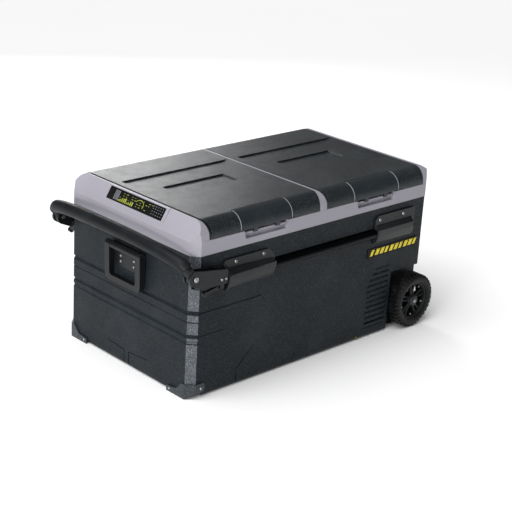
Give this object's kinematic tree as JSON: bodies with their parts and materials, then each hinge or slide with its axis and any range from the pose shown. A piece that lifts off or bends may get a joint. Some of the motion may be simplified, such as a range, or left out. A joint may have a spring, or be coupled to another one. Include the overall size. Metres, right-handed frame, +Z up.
{
  "type": "compressor cooler fridge",
  "caption": "Long two-zone compressor cooler fridge with latched lids, control panel, wheels, and a telescoping tilting pull handle and carry bails.",
  "frame": {"origin": "centre of the base, on the plane that the base rests on", "axes": "+X along the length towards the wheels, -X towards the pull handle, -Y towards the latches, +Z up"},
  "size_m": [0.9109, 0.538, 0.4384],
  "materials": {
    "body": "fine pebble grain, dark charcoal",
    "bezel": "fine grain, light lavender grey",
    "lid": "fine speckled grain, dark grey",
    "liner": "smooth white",
    "foam": "sealed insulation foam",
    "gasket": "soft seal",
    "display": "glossy black window",
    "board": "green circuit board",
    "hardware": "black moulded, fine grain",
    "tube": "black anodised",
    "grip": "ribbed soft sleeve",
    "tyre": "knobbly tread",
    "steel": "zinc plated",
    "compressor": "black painted",
    "fins": "bare fins",
    "badge": "black plate with plain yellow bars"
  },
  "bodies": {
    "cabinet": {"outer_shell": "body", "base_pan": "body", "foam_insulation": "foam", "liner_left": "liner", "liner_right": "liner", "bezel_frame": "bezel", "control_window": "display", "control_board": "board", "corner_guard_near": "hardware", "corner_guard_far": "hardware", "vent_grille_near": "body", "vent_grille_far": "body", "guide_tube_near": "tube", "guide_tube_far": "tube", "tube_bracket_front_near": "hardware", "tube_bracket_front_far": "hardware", "tube_bracket_rear_near": "hardware", "tube_bracket_rear_far": "hardware", "bail_plate_front": "hardware", "bail_plate_rear": "hardware", "compressor": "compressor", "condenser": "fins", "fan_frame": "hardware", "power_board": "board", "power_socket": "hardware", "badge": "badge", "wheel_axle": "steel", "hinge_pin_left": "steel", "hinge_pin_right": "steel"},
    "lid_left": {"lid_left_cover": "lid", "lid_left_inner": "liner", "lid_left_foam": "foam", "lid_left_gasket": "gasket", "latch_pin_left": "steel"},
    "lid_right": {"lid_right_cover": "lid", "lid_right_inner": "liner", "lid_right_foam": "foam", "lid_right_gasket": "gasket", "latch_pin_right": "steel"},
    "latch_flap_left": {"latch_left": "hardware"},
    "latch_flap_right": {"latch_right": "hardware"},
    "handle_carriage": {"slide_tube_near": "tube", "slide_tube_far": "tube", "handle_yoke_near": "hardware", "handle_yoke_far": "hardware", "pivot_bolt_near": "steel", "pivot_bolt_far": "steel"},
    "pull_handle": {"pull_bar": "hardware", "grip_sleeve": "grip"},
    "lever_near": {"release_lever_near": "hardware"},
    "lever_far": {"release_lever_far": "hardware"},
    "carry_bail_front": {"bail_front": "hardware"},
    "carry_bail_rear": {"bail_rear": "hardware"},
    "wheel_near": {"tyre_near": "tyre", "rim_near": "hardware", "hub_cap_near": "hardware"},
    "wheel_far": {"tyre_far": "tyre", "rim_far": "hardware", "hub_cap_far": "hardware"},
    "fan": {"fan_rotor": "hardware"}
  },
  "joints": [
    {"name": "lid_left_hinge", "type": "hinge", "parent": "cabinet", "child": "lid_left", "pos_m": [-0.188, 0.2465, 0.393], "axis": [-1, 0, 0], "range_deg": [0, 95]},
    {"name": "lid_right_hinge", "type": "hinge", "parent": "cabinet", "child": "lid_right", "pos_m": [0.1965, 0.2465, 0.393], "axis": [-1, 0, 0], "range_deg": [0, 95]},
    {"name": "latch_left_hinge", "type": "hinge", "parent": "lid_left", "child": "latch_flap_left", "pos_m": [-0.188, -0.204, 0.435], "axis": [-1, 0, 0], "range_deg": [0, 60]},
    {"name": "latch_right_hinge", "type": "hinge", "parent": "lid_right", "child": "latch_flap_right", "pos_m": [0.1965, -0.204, 0.435], "axis": [-1, 0, 0], "range_deg": [0, 60]},
    {"name": "handle_slide", "type": "slide", "parent": "cabinet", "child": "handle_carriage", "axis": [-1, 0, 0], "range_m": [0, 0.33]},
    {"name": "handle_tilt", "type": "hinge", "parent": "handle_carriage", "child": "pull_handle", "pos_m": [-0.427, 0, 0.321], "axis": [0, 1, 0], "range_deg": [-40, 0]},
    {"name": "lever_near_squeeze", "type": "hinge", "parent": "handle_carriage", "child": "lever_near", "pos_m": [-0.345, -0.258, 0.2845], "axis": [0, 1, 0], "range_deg": [0, 7], "stiffness_Nm_per_rad": 0.3, "springref_deg": -5.73},
    {"name": "lever_far_squeeze", "type": "hinge", "parent": "handle_carriage", "child": "lever_far", "pos_m": [-0.345, 0.258, 0.2845], "axis": [0, 1, 0], "range_deg": [0, 7], "stiffness_Nm_per_rad": 0.3, "springref_deg": -5.73},
    {"name": "bail_front_swing", "type": "hinge", "parent": "cabinet", "child": "carry_bail_front", "pos_m": [-0.4215, 0, 0.308], "axis": [0, 1, 0], "range_deg": [0, 90]},
    {"name": "bail_rear_swing", "type": "hinge", "parent": "cabinet", "child": "carry_bail_rear", "pos_m": [0.4215, 0, 0.308], "axis": [0, -1, 0], "range_deg": [0, 90]},
    {"name": "wheel_near_spin", "type": "hinge", "parent": "cabinet", "child": "wheel_near", "pos_m": [0.361, -0.246, 0.075], "axis": [0, 1, 0], "continuous": true},
    {"name": "wheel_far_spin", "type": "hinge", "parent": "cabinet", "child": "wheel_far", "pos_m": [0.361, 0.246, 0.075], "axis": [0, 1, 0], "continuous": true},
    {"name": "fan_spin", "type": "hinge", "parent": "cabinet", "child": "fan", "pos_m": [0.262, -0.128, 0.09], "axis": [0, 1, 0], "continuous": true}
  ]
}
